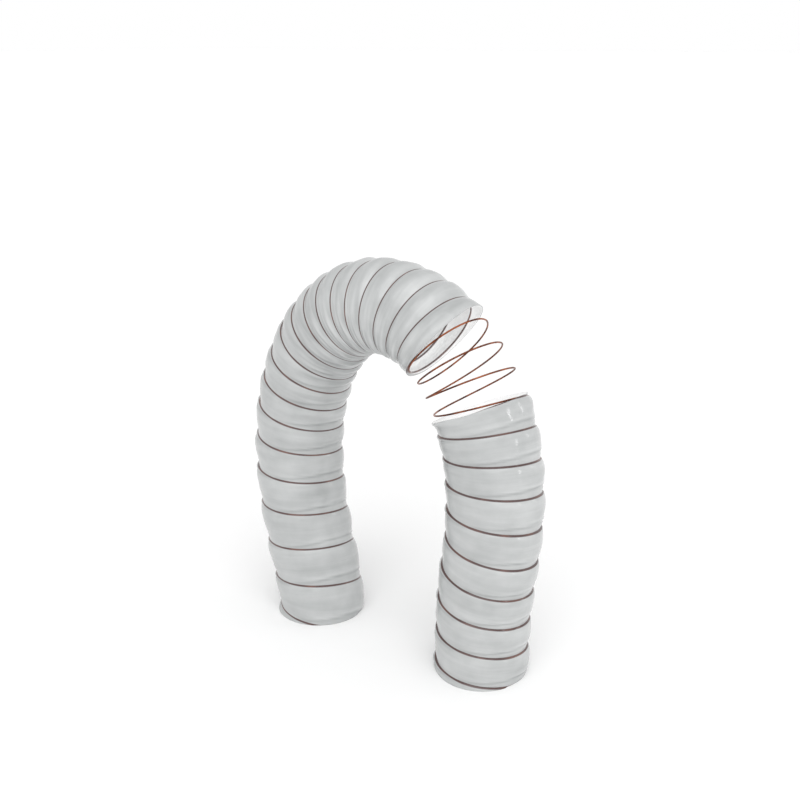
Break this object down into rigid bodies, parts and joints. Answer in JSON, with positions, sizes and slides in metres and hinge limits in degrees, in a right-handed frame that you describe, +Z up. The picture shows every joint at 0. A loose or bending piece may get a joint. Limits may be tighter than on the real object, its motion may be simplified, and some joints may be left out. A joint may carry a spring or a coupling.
{
  "type": "polyurethane ducting hose",
  "caption": "Flexible film hose on a wire helix, standing in an arch on its two cut ends, with its wall cut away below the bend so that the bare helix shows.",
  "frame": {"origin": "centre of the bounding box's bottom face, on the floor between the two legs", "axes": "+Z up, +X from the long leg to the short leg, and -Y is the front that faces the camera"},
  "size_m": [0.405, 0.112, 0.4783],
  "materials": {
    "hose_film": "glossy, slightly see-through light grey polyurethane film",
    "copper_wire": "drawn spring steel wire with a thin copper coat, satin"
  },
  "bodies": {
    "root": {"hose_wall_long": "hose_film", "hose_wall_short": "hose_film", "wire_helix": "copper_wire"}
  },
  "joints": []
}
